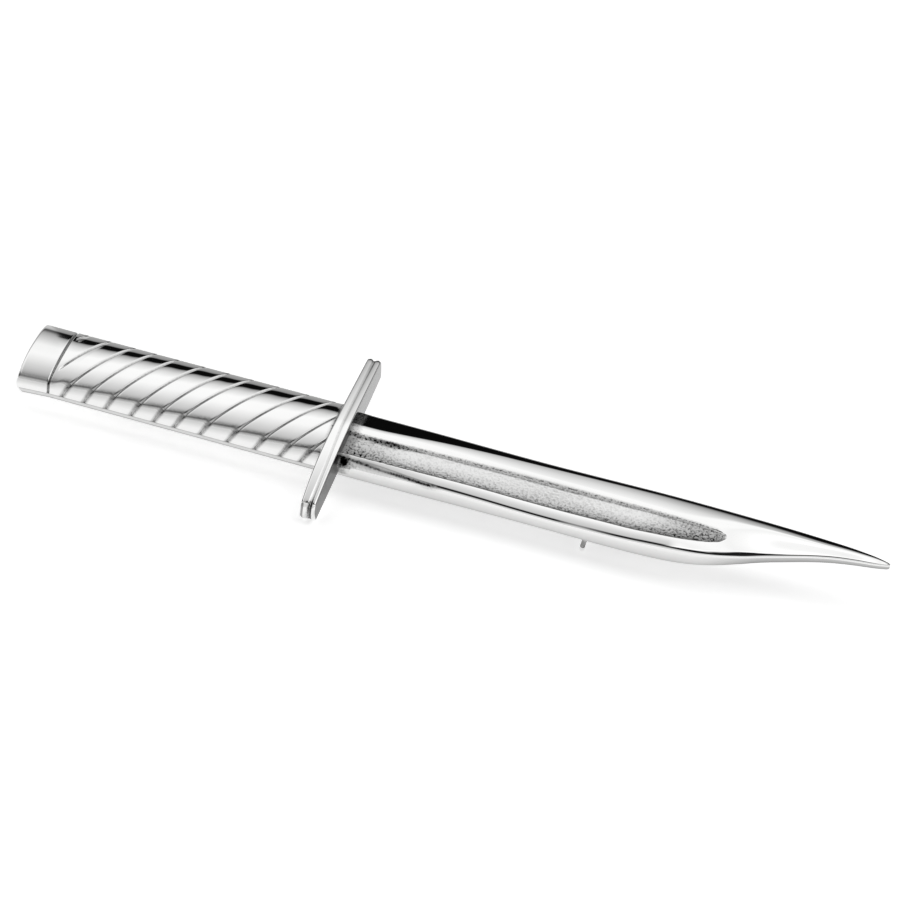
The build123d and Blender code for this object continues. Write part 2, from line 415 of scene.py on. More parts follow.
ring_of_bar = bar_outline()
bar_out = outward(ring_of_bar)
bar_height = ring_of_bar[:, 1]
grooved = rise(groove_foot - groove_fade_below, groove_foot + groove_fade_above, bar_height)
# Painted shade: the foot mark darkens the bottom edge, the foot's step and the top of the near
# flank, for the shadowed floor that they reflect.
painted_foot_shade = np.interp(bar_height, *np.array(foot_shade_table).T)
corner_y = half_width * math.cos(math.radians(crown_start))
corner_at = np.flatnonzero(ring_of_bar[:, 0] < corner_y + 0.01)[-1]
stretch = np.linalg.norm(np.diff(ring_of_bar, axis=0), axis=1)
travel = np.concatenate([[0], np.cumsum(stretch)])
# Painted shade: a dark line along the corner above the near flank, for the dark reflection where
# the flank turns into the crown.
past_corner = travel - travel[corner_at] - corner_line_shift
corner_shade_line = np.exp(-((past_corner / corner_line_reach) ** 2))
on_flank = (np.arange(len(travel)) < corner_at) & (ring_of_bar[:, 0] < near_flank_y)
painted_foot_shade += on_flank * flank_shade * rise(flank_shade_start, flank_shade_full, bar_height)
rounding = np.radians(np.linspace(0, 90, 9))
pommel_x = np.concatenate(
    [
        end_round * (1 - np.cos(rounding)),
        np.linspace(even_start, even_end, 15),
        np.linspace(ring_zone_start, seam_x, 27),
    ]
)
rings = []
pommel_painted_shade = []
for place in pommel_x:
    short = max(0.0, end_round - place)
    inset = end_round - math.sqrt(max(end_round**2 - short**2, 0))
    flare = near_flare + end_flare * max(0.0, 1 - place / ring_x)
    cut = math.exp(-(((place - ring_x) / ring_reach) ** 2))
    outline = bar_outline(inset, flare) - bar_out * (ring_depth * cut * grooved)[:, None]
    near_share = np.minimum(outline[:, 0], 0) / half_width
    low_share = np.clip((low_corner_height - outline[:, 1]) / low_corner_height, 0, 1)
    high_part = rise(dome_start, dome_full, outline[:, 1])
    round_end = low_end_dome + (end_dome - low_end_dome) * high_part
    dome = max(0.0, 1 - place / ring_x) * near_share**2 * (round_end + low_corner * low_share**2)
    rings.append(np.column_stack([place + dome, outline]))
    # Painted shade in the ring groove, on its duller cast skin, and along the corner line.
    dark = math.exp(-(((place - ring_x) / ring_groove_shade_reach) ** 4))
    pommel_painted_shade.append(np.maximum(ring_groove_shade * dark * grooved, corner_painted_shade * corner_shade_line))
pommel = skin("pommel", np.array(rings))
mark(pommel, "sunk", pommel_painted_shade)
mark(pommel, "foot", np.tile(painted_foot_shade, len(rings)))
close_up(pommel)

# Silver: mirror polished by hand, so its gloss varies a little and it holds a faint ripple. The
# marks darken, dull and roughen it: their dullness and grain are the cast skin that the wheel can't
# reach, and their darkness is partly that skin and partly painted shade and painted reflection.
silver_light = 0.82
silver_gloss = 0.030
silver_blue = 0.995
cloud_in_light = 0.04
cloud_in_gloss = 0.03
scratch_in_gloss = 0.01
ripple_height = 0.0005
scratch_height = 0.00001


def silver(name, marks=()):
    """Polished silver. Each mark: its name, darkness, specks, dullness and grain in mm."""
    made = bpy.data.materials.new(name)
    made.use_nodes = True
    made.node_tree.nodes.clear()
    start = Signal(made.node_tree)
    place = start.node("ShaderNodeTexCoord", output="Object")
    cloud = start.node("ShaderNodeTexNoise", {}, {"Vector": place, "Scale": 260.0, "Detail": 3.0})
    ripple = start.node("ShaderNodeTexNoise", {}, {"Vector": place, "Scale": 600.0, "Detail": 1.0})
    scratch = start.node(
        "ShaderNodeTexNoise", {}, {"Vector": place, "Scale": 9000.0, "Detail": 4.0}
    )
    grain = start.node("ShaderNodeTexNoise", {}, {"Vector": place, "Scale": 4800.0, "Detail": 3.0})
    speck = ((grain - 0.50) * 5 + 0.1).clamp()
    shade = silver_light + (cloud - 0.5) * cloud_in_light
    rough = silver_gloss + (cloud - 0.5) * cloud_in_gloss + (scratch - 0.5) * scratch_in_gloss
    height = ripple * ripple_height + scratch * scratch_height
    for mark_name, darkness, specks, dullness, relief in marks:
        held = start.node("ShaderNodeAttribute", {"attribute_name": mark_name}, {}, "Fac")
        shade = shade - held * (speck * specks + darkness)
        rough = rough + held * dullness
        height = height + held * grain * relief
    shade = shade.clamp()
    tone = start.node("ShaderNodeCombineColor", {}, {0: shade, 1: shade, 2: shade * silver_blue})
    bump = start.node("ShaderNodeBump", {}, {"Strength": 1.0, "Distance": mm, "Height": height})
    surface = start.node(
        "ShaderNodeBsdfPrincipled",
        {},
        {"Base Color": tone, "Metallic": 1.0, "Roughness": rough, "Normal": bump},
    )
    start.node("ShaderNodeOutputMaterial", {}, {"Surface": surface})
    return made


# The pin is modelled flat and in millimetres, its back at the height of nought. Then it
# is laid down as it rests: on its hinge, its catch and one end of its guard.
rest_turn = math.radians(16.93)
rest_shift = Vector((-40.0, 0.364, 2.853))
lying = Matrix.Scale(mm, 4) @ Matrix.Translation(rest_shift) @ Matrix.Rotation(rest_turn, 4, "X")


def lay_down(piece, material, node="dagger"):
    """Turn the flat piece as it lies, and give it its material and its body."""
    piece.data.transform(lying)
    piece.data.materials.clear()
    piece.data.materials.append(material)
    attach(piece, "root")
    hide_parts(node)


# Both marks are mostly painted shade; the sunk mark also dulls and grains the cast skin in the
# grooves.
grip_silver = silver(
    "grip_silver", (("sunk", 0.50, 0.20, 0.30, 0.01), ("foot", 0.42, 0.0, 0.10, 0.0))
)
lay_down(pommel, grip_silver)


# The grip: the same bar, cut with slanted grooves that wind round it from the foot of
# one flank to the other. The ribs between them are left a little pillowed, and the
# corner above the near flank climbs along each rib and drops back at its groove.
guard_x = 29.92
guard_face_x = 29.17
grip_length = guard_face_x - ring_x
groove_depth = 0.12
flank_pillow = 0.02
end_shade = 0.7
crown_groove_reach = 0.070
flank_groove_reach = 0.11
crown_groove_shade_reach = 0.115
flank_groove_shade_reach = 0.25
groove_shade_strength = 0.72
groove_slant = math.radians(30)
crown_foot = 2.02
flank_top = 1.60
corner_lift = 4.5
corner_lift_gain = 6.0
lift_return = 0.80
lift_start = 0.3
lift_full = 1.3
fade_start = 0.30
fade_end = 0.75
rib_pillow = 0.018
grip_end_round = 0.24
grip_end_height = 0.3
end_shade_start = 0.45
end_shade_full = 0.05
grip_corner_painted_shade = 0.6
into_guard = 0.02
near_flank_points = 28
groove_table = [
    # near, far: shares of the grip's length where it starts at the near flank's foot
    # and where it leaves the crown at the far side
    (-0.205, -0.035),
    (-0.123, 0.050),
    (-0.039, 0.134),
    (0.051, 0.226),
    (0.132, 0.306),
    (0.213, 0.390),
    (0.307, 0.487),
    (0.390, 0.580),
    (0.465, 0.669),
    (0.561, 0.764),
    (0.660, 0.874),
    (0.760, 0.972),
    (0.852, 1.065),
    (0.926, 1.139),
    (1.020, 1.230),
    (1.100, 1.310),
]
rib_steps = np.array(
    [0, 0.015, 0.03, 0.045, 0.06, 0.08, 0.10, 0.13, 0.17, 0.24, 0.32, 0.41, 0.5]
    + [0.59, 0.68, 0.76, 0.83, 0.87, 0.90, 0.92, 0.94, 0.955, 0.97, 0.985]
)
front = np.flatnonzero(bar_height > back_level + 1e-6)
first, last = front[0] - 1, front[-1] + 1
near_side = slice(first, first + near_flank_points)
foot_travel = np.interp(groove_foot, bar_height[near_side], travel[near_side])
crown_end = travel[np.flatnonzero(ring_of_bar[:, 0] > half_width - 1e-6)[0]]
wound = (travel - foot_travel) / (crown_end - foot_travel)
back_across = (ring_of_bar[:, 0] - ring_of_bar[first, 0]) / (
    ring_of_bar[last, 0] - ring_of_bar[first, 0]
)
behind = wound[first] + (wound[last] - wound[first]) * back_across
order = np.arange(len(travel))
wound = np.where((order > first) & (order < last), wound, behind)
on_near_flank = rise(crown_foot, flank_top, bar_height) * (ring_of_bar[:, 0] < 0)
reach = crown_groove_reach + (flank_groove_reach - crown_groove_reach) * on_near_flank
groove_shade_reach = crown_groove_shade_reach + (flank_groove_shade_reach - crown_groove_shade_reach) * on_near_flank
rings = []
grip_painted_shade = []
near_places, far_places = ring_x + grip_length * np.array(groove_table).T
for number in range(len(groove_table) - 1):
    for share in rib_steps:
        near = np.interp(number + share, range(len(near_places)), near_places)
        far = np.interp(number + share, range(len(far_places)), far_places)
        pitch = near_places[number + 1] - near_places[number]
        apart = min(share, 1 - share) * pitch * math.cos(groove_slant)
        along = near + (far - near) * wound
        fade = rise(ring_x + fade_start, ring_x + fade_end, along)
        cut = np.exp(-((apart / reach) ** 2)) * grooved * fade
        off_middle = 2 * share - 1
        pillow = rib_pillow * off_middle**4 + flank_pillow * on_near_flank * off_middle**2
        sunk = groove_depth * cut + pillow * grooved * fade
        end_part = np.clip((along - (guard_face_x - grip_end_round)) / grip_end_round, 0, 1)
        end_fall = grip_end_round * (1 - np.sqrt(1 - end_part**2))
        sunk = sunk + end_fall * rise(0, grip_end_height, bar_height)
        lift = corner_lift + corner_lift_gain * share * (1 - rise(lift_return, 1, share))
        lift *= rise(ring_x + lift_start, ring_x + lift_full, along[corner_at])
        outline = bar_outline(0, near_flare, lift) - bar_out * sunk[:, None]
        rings.append(np.column_stack([along, outline]))
        # Painted shade: darker grooves on their duller cast skin, a darker end beside the guard,
        # and the corner line.
        to_guard = guard_face_x - along
        shaded = end_shade * rise(end_shade_start, end_shade_full, to_guard)
        dark = np.exp(-((apart / groove_shade_reach) ** (2 + 2 * on_near_flank))) * grooved * fade
        dark *= groove_shade_strength
        grip_painted_shade.append(np.maximum(np.maximum(dark, shaded), grip_corner_painted_shade * corner_shade_line))
grip = skin("grip", np.array(rings))
mark(grip, "sunk", grip_painted_shade)
mark(grip, "foot", np.tile(painted_foot_shade, len(rings)))
close_up(grip, ((seam_x, -1), (guard_face_x + into_guard, 1)))
lay_down(grip, grip_silver)


# The guard: a cast bar across the pin, arched along its top. A groove is filed along
# the top and down both ends, so that each end has two lobes, and it is polished round.
guard_far = 10.02
guard_near = -10.05
guard_height = 2.92
guard_far_height = 2.07
guard_near_height = 1.98
guard_base = 1.70
guard_top = 1.46
guard_groove = 0.44
guard_groove_depth = 0.07
guard_end_groove_depth = 0.14
guard_groove_shift = 0.16
guard_near_bulge = 0.12
guard_end_share = 0.88
guard_far_lean = 0.10
near_bend = 2.3
far_bend = 1.2
left_cut = 0.48
right_cut = 0.50
end_cut = 0.55
first_cut = 1.3
cuts_along = 21
low_cut = 0.25
high_cut = 0.32
groove_tuck = 0.52
inner_tuck = 0.24
side_tuck = 0.44
bottom_tuck = 0.55
low_tuck = 0.14
top_tuck = 0.48
near_face_shade = 1.25
far_face_shade = 0.95

# Each pair is where a mark starts and where it is full: by how far the surface faces left,
# right or out, by the distance from the groove, or by the share of the way to the end.
left_edge_facing = (0.14, 0.50)
left_side_facing = (0.72, 0.95)
left_side_less = 0.75
right_side_facing = (0.80, 0.97)
groove_mark_near = (0.16, 0.04)
groove_mark_facing = (0.4, 0.9)
groove_end_near = (0.34, 0.08)
groove_end_out = (0.86, 0.95)
bpy.ops.object.select_all(action="DESELECT")
bpy.ops.mesh.primitive_cube_add(
    size=1,
    location=(guard_x, (guard_far + guard_near) / 2, guard_height / 2),
    scale=(guard_base, guard_far - guard_near, guard_height),
)
guard = bpy.context.object
guard.name = "guard"
bpy.ops.object.transform_apply(location=True, rotation=False, scale=True)
bpy.ops.object.mode_set(mode="EDIT")
across_cuts = (-left_cut, -guard_groove / 2, 0, guard_groove / 2, right_cut)
along_cuts = np.linspace(guard_near + first_cut, guard_far - first_cut, cuts_along)
cut_places = [(guard_x + place, 0) for place in across_cuts]
cut_places += [(guard_near + end_cut, 1), (guard_far - end_cut, 1)]
cut_places += [(place, 1) for place in along_cuts]
cut_places += [(low_cut, 2), (guard_height - high_cut, 2)]
for place, axis in cut_places:
    plane = np.eye(3)[axis]
    bpy.ops.mesh.select_all(action="SELECT")
    bpy.ops.mesh.bisect(plane_co=tuple(plane * place), plane_no=tuple(plane))
bpy.ops.object.mode_set(mode="OBJECT")
for vertex in guard.data.vertices:
    across, y, z = vertex.co.x - guard_x, vertex.co.y, vertex.co.z
    out = y / guard_far if y > 0 else y / guard_near
    low_end, bend = (guard_near_height, near_bend) if y < 0 else (guard_far_height, far_bend)
    top = guard_height - (guard_height - low_end) * out**bend
    in_groove = abs(across) < guard_groove / 4
    beside_groove = abs(across) < guard_groove
    on_side = abs(across) > 0.49 * guard_base
    at_top = z > guard_height - 0.01
    at_end = out > 0.999
    up = z / guard_height
    depth = guard_groove_depth + (guard_end_groove_depth - guard_groove_depth) * out**6
    vertex.co.z = z * top / guard_height - (depth if in_groove and at_top else 0)
    narrow = (1 - (1 - guard_top / guard_base) * up) * (1 - (1 - guard_end_share) * out)
    shift = guard_groove_shift * min(1, 2 * out) if y < 0 and beside_groove else 0
    on_left = across < -guard_groove
    bulge = guard_near_bulge * math.sin(math.pi * out) if y < 0 and on_left else 0
    lean = guard_far_lean * out if y > 0 else 0
    vertex.co.x = guard_x + across * narrow + shift - bulge + lean
    if at_end:
        tuck = groove_tuck if in_groove else inner_tuck if beside_groove else side_tuck * on_side
        is_low = z < 2 * low_cut
        tuck += bottom_tuck if z < low_cut / 2 else low_tuck if is_low else top_tuck * at_top
        vertex.co.y -= math.copysign(tuck, y)
bpy.ops.object.modifier_add(type="SUBSURF")
guard.modifiers["Subdivision"].levels = 3
guard.modifiers["Subdivision"].render_levels = 3
bpy.ops.object.modifier_apply(modifier="Subdivision")
bpy.ops.object.shade_smooth()
corners = np.empty(len(guard.data.vertices) * 3, np.float32)
guard.data.vertices.foreach_get("co", corners)
normals = np.empty(len(guard.data.vertices) * 3, np.float32)
guard.data.vertices.foreach_get("normal", normals)
guard_along, guard_across, _ = corners.reshape(-1, 3).T
faces_right, faces_far, faces_up = normals.reshape(-1, 3).T
out = np.where(guard_across > 0, guard_across / guard_far, guard_across / guard_near)
groove_x = guard_x + np.where(
    guard_across < 0, guard_groove_shift * np.minimum(1, 2 * out), guard_far_lean * out
)
from_groove = np.abs(guard_along - groove_x)
faces_out = np.maximum(faces_up, np.abs(faces_far))
left_edge_shade = rise(*left_edge_facing, -faces_right)
left_edge_shade *= 1 - left_side_less * rise(*left_side_facing, -faces_right)
face_shade = np.where(guard_across < 0, near_face_shade, far_face_shade)
right_face_shade = rise(*right_side_facing, faces_right) * face_shade
along_top = rise(*groove_mark_near, from_groove) * rise(*groove_mark_facing, faces_out)
at_ends = rise(*groove_end_near, from_groove) * rise(*groove_end_out, out)
# Painted shade: the side mark darkens the faces towards the blade and the edges towards the grip,
# by which way they face.
mark(guard, "side", right_face_shade + left_edge_shade)
mark(guard, "groove", along_top)
mark(guard, "groove_end", at_ends)
guard_silver = silver(
    "guard_silver",
    (
        ("side", 0.585, 0.04, 0.20, 0.005),
        ("groove", 0.14, 0.05, 0.14, 0.0),
        ("groove_end", 0.35, 0.45, 0.20, 0.02),
    ),
)
lay_down(guard, guard_silver)


# The blade: cast flat-backed, with upright flanks and a shoulder along each edge. Its
# near edge sweeps up to the point. A fuller is sunk along it and left matt.
root_x = 29.5
tip_x = 80
fuller_end = 65.6
near_edge = [
    # along, across
    (29.5, -3.54),
    (37.0, -3.49),
    (42.0, -3.40),
    (50.0, -3.35),
    (57.5, -3.35),
    (59.6, -3.26),
    (61.4, -3.10),
    (63.1, -2.81),
    (65.0, -2.23),
    (67.0, -1.37),
    (69.0, -0.44),
    (71.0, 0.35),
    (73.0, 1.10),
    (75.0, 1.72),
    (77.0, 2.15),
    (79.0, 2.50),
    (80.0, 2.76),
]
far_edge = [
    # along, across, height of the plateau, drop and width of the dark band, edge's radius
    (29.5, 3.22, 1.98, 0.40, 1.95, 0.25),
    (33.0, 3.22, 1.98, 0.40, 1.95, 0.25),
    (36.0, 3.16, 1.98, 0.33, 1.65, 0.25),
    (39.0, 3.10, 1.98, 0.26, 1.30, 0.25),
    (43.0, 3.04, 1.97, 0.20, 0.95, 0.25),
    (48.0, 3.00, 1.96, 0.15, 0.72, 0.25),
    (54.0, 3.08, 1.95, 0.12, 0.62, 0.25),
    (60.0, 3.19, 1.95, 0.115, 0.64, 0.25),
    (66.0, 3.32, 1.72, 0.112, 0.62, 0.22),
    (70.0, 3.38, 1.50, 0.110, 0.60, 0.18),
    (74.0, 3.49, 1.11, 0.105, 0.56, 0.12),
    (77.0, 3.45, 0.86, 0.075, 0.38, 0.10),
    (79.0, 3.28, 0.65, 0.038, 0.20, 0.08),
    (80.0, 3.08, 0.53, 0.02, 0.10, 0.06),
]
near_height = [
    # along, height of the near ridge
    (29.5, 1.92),
    (37.0, 1.84),
    (41.0, 1.79),
    (44.0, 1.71),
    (47.0, 1.60),
    (51.0, 1.57),
    (54.0, 1.67),
    (57.0, 1.77),
    (60.0, 1.88),
    (62.0, 1.82),
    (63.7, 1.67),
    (65.0, 1.52),
    (66.7, 1.28),
    (68.0, 1.08),
    (69.0, 0.97),
    (71.0, 0.88),
    (73.0, 0.81),
    (75.0, 0.74),
    (77.0, 0.66),
    (80.0, 0.58),
]
near_line_table = [
    # along, width and slope of the steep strip beside the near flank
    (29.5, 0.30, 0.26),
    (34.0, 0.30, 0.26),
    (40.0, 0.25, 0.27),
    (58.0, 0.24, 0.27),
    (61.5, 0.27, 0.30),
    (63.5, 0.34, 0.34),
    (65.5, 0.44, 0.37),
    (67.2, 0.44, 0.38),
    (69.0, 0.28, 0.36),
    (71.0, 0.19, 0.32),
    (74.0, 0.16, 0.30),
    (80.0, 0.11, 0.28),
]
near_shoulder = [
    # along, width of the rounded shoulder that the near edge has beside the guard
    (29.5, 0.66),
    (32.0, 0.61),
    (34.0, 0.46),
    (36.0, 0.28),
    (37.5, 0.14),
    (39.0, 0.03),
    (40.0, 0.0),
    (80.0, 0.0),
]
shoulder_slope = 0.30
shoulder_steepness = 1.30
shoulder_least = 0.05
near_line_reach = 0.13
near_line_offset = 0.03
near_line_offset_gain = 0.08
near_line_shade = 0.80
near_line_shade_gain = 0.45
below_line_shade = 0.60
below_line_reach = 0.34
ridge_width = 1.20
ridge_most = 0.4
ridge_slope = 0.28
ridge_bend = 0.7
strip_reach = 1.15
strip_bend = 1.2
near_edge_round = 0.10
band_bend_most = 0.25
plateau_ease = [
    # along, width over which the far plateau flattens past its dark band, first slope
    (29.5, 0.50, 0.12),
    (36.0, 0.60, 0.12),
    (43.0, 1.30, 0.12),
    (50.0, 1.90, 0.12),
    (56.0, 1.90, 0.125),
    (62.0, 1.90, 0.14),
    (68.0, 1.50, 0.145),
    (74.0, 0.70, 0.145),
    (80.0, 0.10, 0.14),
]
fuller_near = [
    # along, across
    (29.5, -2.50),
    (36.2, -2.40),
    (43.5, -2.18),
    (49.9, -2.08),
    (54.5, -2.12),
    (58.2, -2.12),
    (61.7, -1.78),
    (63.4, -1.38),
    (64.5, -1.00),
    (65.2, -0.62),
    (65.6, -0.15),
]
fuller_far = [
    # along, across
    (29.5, 0.08),
    (33.0, 0.08),
    (38.0, 0.22),
    (45.0, 0.38),
    (60.0, 0.43),
    (63.8, 0.42),
    (65.1, 0.34),
    (65.5, 0.12),
    (65.6, -0.15),
]
past_fuller = [
    # along, and how the grid's columns go on from the fuller's near and far edge
    (65.4, -0.90, 0.35),
    (68.0, -0.05, 0.75),
    (72.0, 1.45, 1.95),
    (76.0, 2.30, 2.55),
    (80.0, 2.84, 2.90),
]
near_wall_shade = 0.82
near_wall_shade_reach = 0.60
fuller_shade_gain = 0.25
fuller_end_shade = 0.9
fuller_end_shade_less = 0.5
fuller_root_shade = 0.5
far_line_shade = 0.85
far_line_reach = 0.16
deepest_fuller_shade = 1.15
tip_round = 0.24
fuller_depth = 0.14
near_wall = 1.00
far_wall = 0.32
matt_edge = (0.02, 0.16)
slope_start = 0.02
slope_past_fuller = 0.1
slope_before_edge = 1.05
slope_before_band = 0.12
slope_least = 0.2

# Each pair is where along the pin a change starts, and where it is complete.
one_slope = (60, 66)
band_bends = (50, 60)
strip_steepens = (31.5, 35.0)
line_moves_in = (34.0, 37.0)
line_darkens = (34.0, 36.5)
line_mark_ends = (40.5, 38.6)
below_line_ends = (36.8, 32.5)
fuller_shade_gains = (48, 53)
fuller_shade_at_end = (57.0, 64.5)
fuller_shade_at_root = (37.0, 31.5)
fuller_shade_starts = (30.9, 31.9)
far_line_ends = (65.2, 64.0)
tip_flank_darkens = (63, 69)
cast_skin_ends = (31.75, 31.15)


def through(rows, places, column=1):
    """A smooth curve through a table's first and given column, read at these places."""
    table = np.array(rows, float)
    x, y = table[:, 0], table[:, column]
    slopes = np.gradient(y, x)
    k = np.clip(np.searchsorted(x, places) - 1, 0, len(x) - 2)
    length = x[k + 1] - x[k]
    t = np.clip((places - x[k]) / length, 0, 1)
    ends = (1 + 2 * t) * (1 - t) ** 2 * y[k] + t**2 * (3 - 2 * t) * y[k + 1]
    leans = t * (1 - t) ** 2 * slopes[k] - t**2 * (1 - t) * slopes[k + 1]
    return ends + length * leans


def to_line(points, line):
    """The distance from each point to the nearest stretch of a line."""
    nearest = np.full(points.shape[:-1], 1e9)
    for a, b in zip(line[:-1], line[1:]):
        step = b - a
        share = np.clip(((points - a) @ step) / (step @ step), 0, 1)
        nearest = np.minimum(nearest, np.linalg.norm(points - a - share[..., None] * step, axis=-1))
    return nearest


tip_turn = np.radians(np.linspace(0, 90, 10))
stations = np.concatenate(
    [
        np.linspace(root_x, 66.0, 400),
        np.linspace(66.1, 79.7, 127),
        tip_x - tip_round * (1 - np.sin(tip_turn)),
    ]
)
near_y = through(near_edge, stations)[:, None]
near_top = through(near_height, stations)[:, None]
far_y, far_top, far_drop, far_width, far_round = (
    through(far_edge, stations, column)[:, None] for column in range(1, 6)
)

# The grid's columns follow the fuller's two edges, and go on past its end to the tip.
before = [row for row in fuller_near if row[0] < 63.5]
near_guide = through([*before, *(row[:2] for row in past_fuller)], stations)[:, None]
before = [row for row in fuller_far if row[0] < 64]
far_guide = through([*before, *((row[0], row[2]) for row in past_fuller)], stations)[:, None]
fine = np.array([0, 0.012, 0.028, 0.048, 0.072, 0.10, 0.13, 0.17, 0.21, 0.26])
near_shares = np.concatenate([fine, np.linspace(0.32, 0.95, 12)])
fuller_shares = np.concatenate([run(0, 0.4, 18), run(0.4, 0.86, 20), run(0.86, 1, 10)])
far_shares = np.concatenate([np.linspace(0, 0.85, 26), 1 - fine[:7][::-1] * 0.9])
tip_middle = (near_y + far_y) / 2
squeeze = np.sqrt(1 - np.clip(1 - (tip_x - stations[:, None]) / tip_round, 0, 1) ** 2)
near_y, far_y, near_guide, far_guide = (
    tip_middle + (line - tip_middle) * squeeze for line in (near_y, far_y, near_guide, far_guide)
)
y = np.concatenate(
    [
        near_y + (near_guide - near_y) * near_shares,
        near_guide + (far_guide - near_guide) * fuller_shares,
        far_guide + (far_y - far_guide) * far_shares,
    ],
    axis=1,
)
x = np.repeat(stations[:, None], y.shape[1], axis=1)
width = np.maximum(far_y - near_y, 0.01)
from_near = y - near_y
from_far = far_y - y

# The face climbs from the near ridge to the far plateau across the fuller, and past the
# fuller's end it is one slope from the near edge to the dark band.
ahead = rise(*one_slope, stations)[:, None]
low = near_guide + (near_y + slope_start * width - near_guide) * ahead
high = far_guide + slope_past_fuller * width
slope_end = far_y - slope_before_edge * far_width - slope_before_band * width
high += (slope_end - high) * ahead
high = np.maximum(high, low + slope_least * width)
share = np.clip((y - low) / (high - low), 0, 1)
top = near_top + (far_top - near_top) * (share + rise(0, 1, share)) / 2

# Beside the near flank the face falls over the ridge, then over a steep strip that shows
# as a dark line, and at the root over a rounded shoulder too.
ridge = np.minimum(ridge_width, ridge_most * width)
strip_width, strip_slope = (through(near_line_table, stations, k)[:, None] for k in (1, 2))
shoulder = np.maximum(through(near_shoulder, stations)[:, None], 0)
past_shoulder = np.maximum(from_near - shoulder, 0)
on_shoulder = np.maximum(shoulder - from_near, 0)
near_fall = np.clip(1 - past_shoulder / ridge, 0, 1) ** (1 + ridge_bend) * (1 - ahead)
near_fall *= ridge_slope * ridge / (1 + ridge_bend)
strip_part = np.clip(strip_reach - past_shoulder / strip_width, 0, strip_reach) ** strip_bend
near_fall += strip_slope * rise(*strip_steepens, x) * strip_width * strip_part
steepened = shoulder_steepness / 2 * on_shoulder / np.maximum(shoulder, shoulder_least)
near_fall += on_shoulder * (shoulder_slope + steepened)
# Painted shade: a dark line along the near edge beside the shoulder and a softer shade over the
# shoulder below it, for the dark reflection there.
line_place = shoulder + near_line_offset + near_line_offset_gain * rise(*line_moves_in, x)
shoulder_shade = np.exp(-(((from_near - line_place) / near_line_reach) ** 2))
shoulder_shade *= near_line_shade + near_line_shade_gain * rise(*line_darkens, x)
shoulder_shade *= rise(*line_mark_ends, x)
below_line = np.exp(-((on_shoulder / below_line_reach) ** 2)) * (from_near < shoulder)
below_line *= below_line_shade * rise(*below_line_ends, x)
shoulder_shade = np.maximum(shoulder_shade, below_line)

# Along the far edge it falls in a broad band, and flattens out past it.
band_share = np.clip(1 - from_far / far_width, 0, 1)
band_bend = band_bend_most * rise(*band_bends, stations)[:, None]
far_fall = far_drop * (band_share + band_bend * band_share**2) / (1 + band_bend)
ease, ease_slope = (through(plateau_ease, stations, k)[:, None] for k in (1, 2))
far_fall += ease_slope * ease / 2 * np.clip(1 - (from_far - far_width) / ease, 0, 1) ** 2
edge_fall = 0
for distance, radius in ((from_near, near_edge_round), (from_far, far_round)):
    edge_fall += radius * (1 - np.sqrt(1 - np.clip(1 - distance / radius, 0, 1) ** 2))

# The fuller is a hollow with a gentle near wall and a steep far one. Its floor is matt, and painted
# shade darkens it towards the near wall, the root and the end.
fuller_x = np.concatenate([np.linspace(root_x, 63.0, 40), np.linspace(63.1, fuller_end, 40)])
near_line = np.stack([fuller_x, through(fuller_near, fuller_x)], 1)
far_line = np.stack([fuller_x, through(fuller_far, fuller_x)], 1)
fuller_low, fuller_high = through(fuller_near, x), through(fuller_far, x)
inside = (y > fuller_low) & (y < fuller_high) & (x < fuller_end)
flat_points = np.stack([x, y], -1)
off_near = np.where(inside, to_line(flat_points, near_line), 0)
off_far = np.where(inside, to_line(flat_points, far_line), 0)
near_part = 1 - (1 - np.clip(off_near / near_wall, 0, 1)) ** 2
far_part = 1 - (1 - np.clip(off_far / far_wall, 0, 1)) ** 2
hollow = fuller_depth * near_part * far_part
matt = rise(*matt_edge, np.minimum(off_near, off_far))
fuller_share = (y - fuller_low) / np.maximum(fuller_high - fuller_low, 0.2)
# Painted shade on the fuller's floor, for the near wall's shadow and the dim reflection in the
# hollow; the same mark also dulls and grains the floor.
tarnish = near_wall_shade * np.clip(1 - fuller_share / near_wall_shade_reach, 0, 1)
tarnish *= 1 + fuller_shade_gain * rise(*fuller_shade_gains, x)
to_end = fuller_end_shade - fuller_end_shade_less * np.clip(tarnish, 0, 1)
tarnish += to_end * rise(*fuller_shade_at_end, x) + fuller_root_shade * rise(*fuller_shade_at_root, x)
tarnish *= matt * rise(*fuller_shade_starts, x)
# Painted shade: a dark line along the fuller's far edge.
far_line_dark = np.exp(-(((y - fuller_high) / far_line_reach) ** 2)) * rise(*far_line_ends, x)
tarnish = np.clip(np.maximum(tarnish, far_line_shade * far_line_dark), 0, deepest_fuller_shade)
z = top - near_fall - far_fall - edge_fall - hollow
face = np.stack([x, y, z], -1)
blade_bottom = 0.08
flank_steps = np.array([0.2, 0.4, 0.6, 0.8, 1.0])
bottom_turn = np.radians([22, 45, 67, 90])


def flank(edge, side):
    """The rows of points down a flank, from the edge of the blade's face to its back."""
    rows = []
    for step in flank_steps:
        height = edge[:, 2] + (blade_bottom - edge[:, 2]) * step
        rows.append(np.stack([edge[:, 0], edge[:, 1], height], -1))
    for angle in bottom_turn:
        inward = side * blade_bottom * (1 - math.cos(angle))
        height = np.full(len(edge), blade_bottom * (1 - math.sin(angle)))
        rows.append(np.stack([edge[:, 0], edge[:, 1] + inward, height], -1))
    return np.stack(rows, 1)


near_flank = flank(face[:, 0], 1)[:, ::-1]
far_flank = flank(face[:, -1], -1)
points = np.concatenate([near_flank, face, far_flank, near_flank[:, :1]], axis=1)
beside_face = ((0, 0), (near_flank.shape[1], far_flank.shape[1] + 1))
matt = np.pad(matt, beside_face)
tarnish = np.pad(tarnish, beside_face)
shoulder_shade = np.pad(shoulder_shade, beside_face)

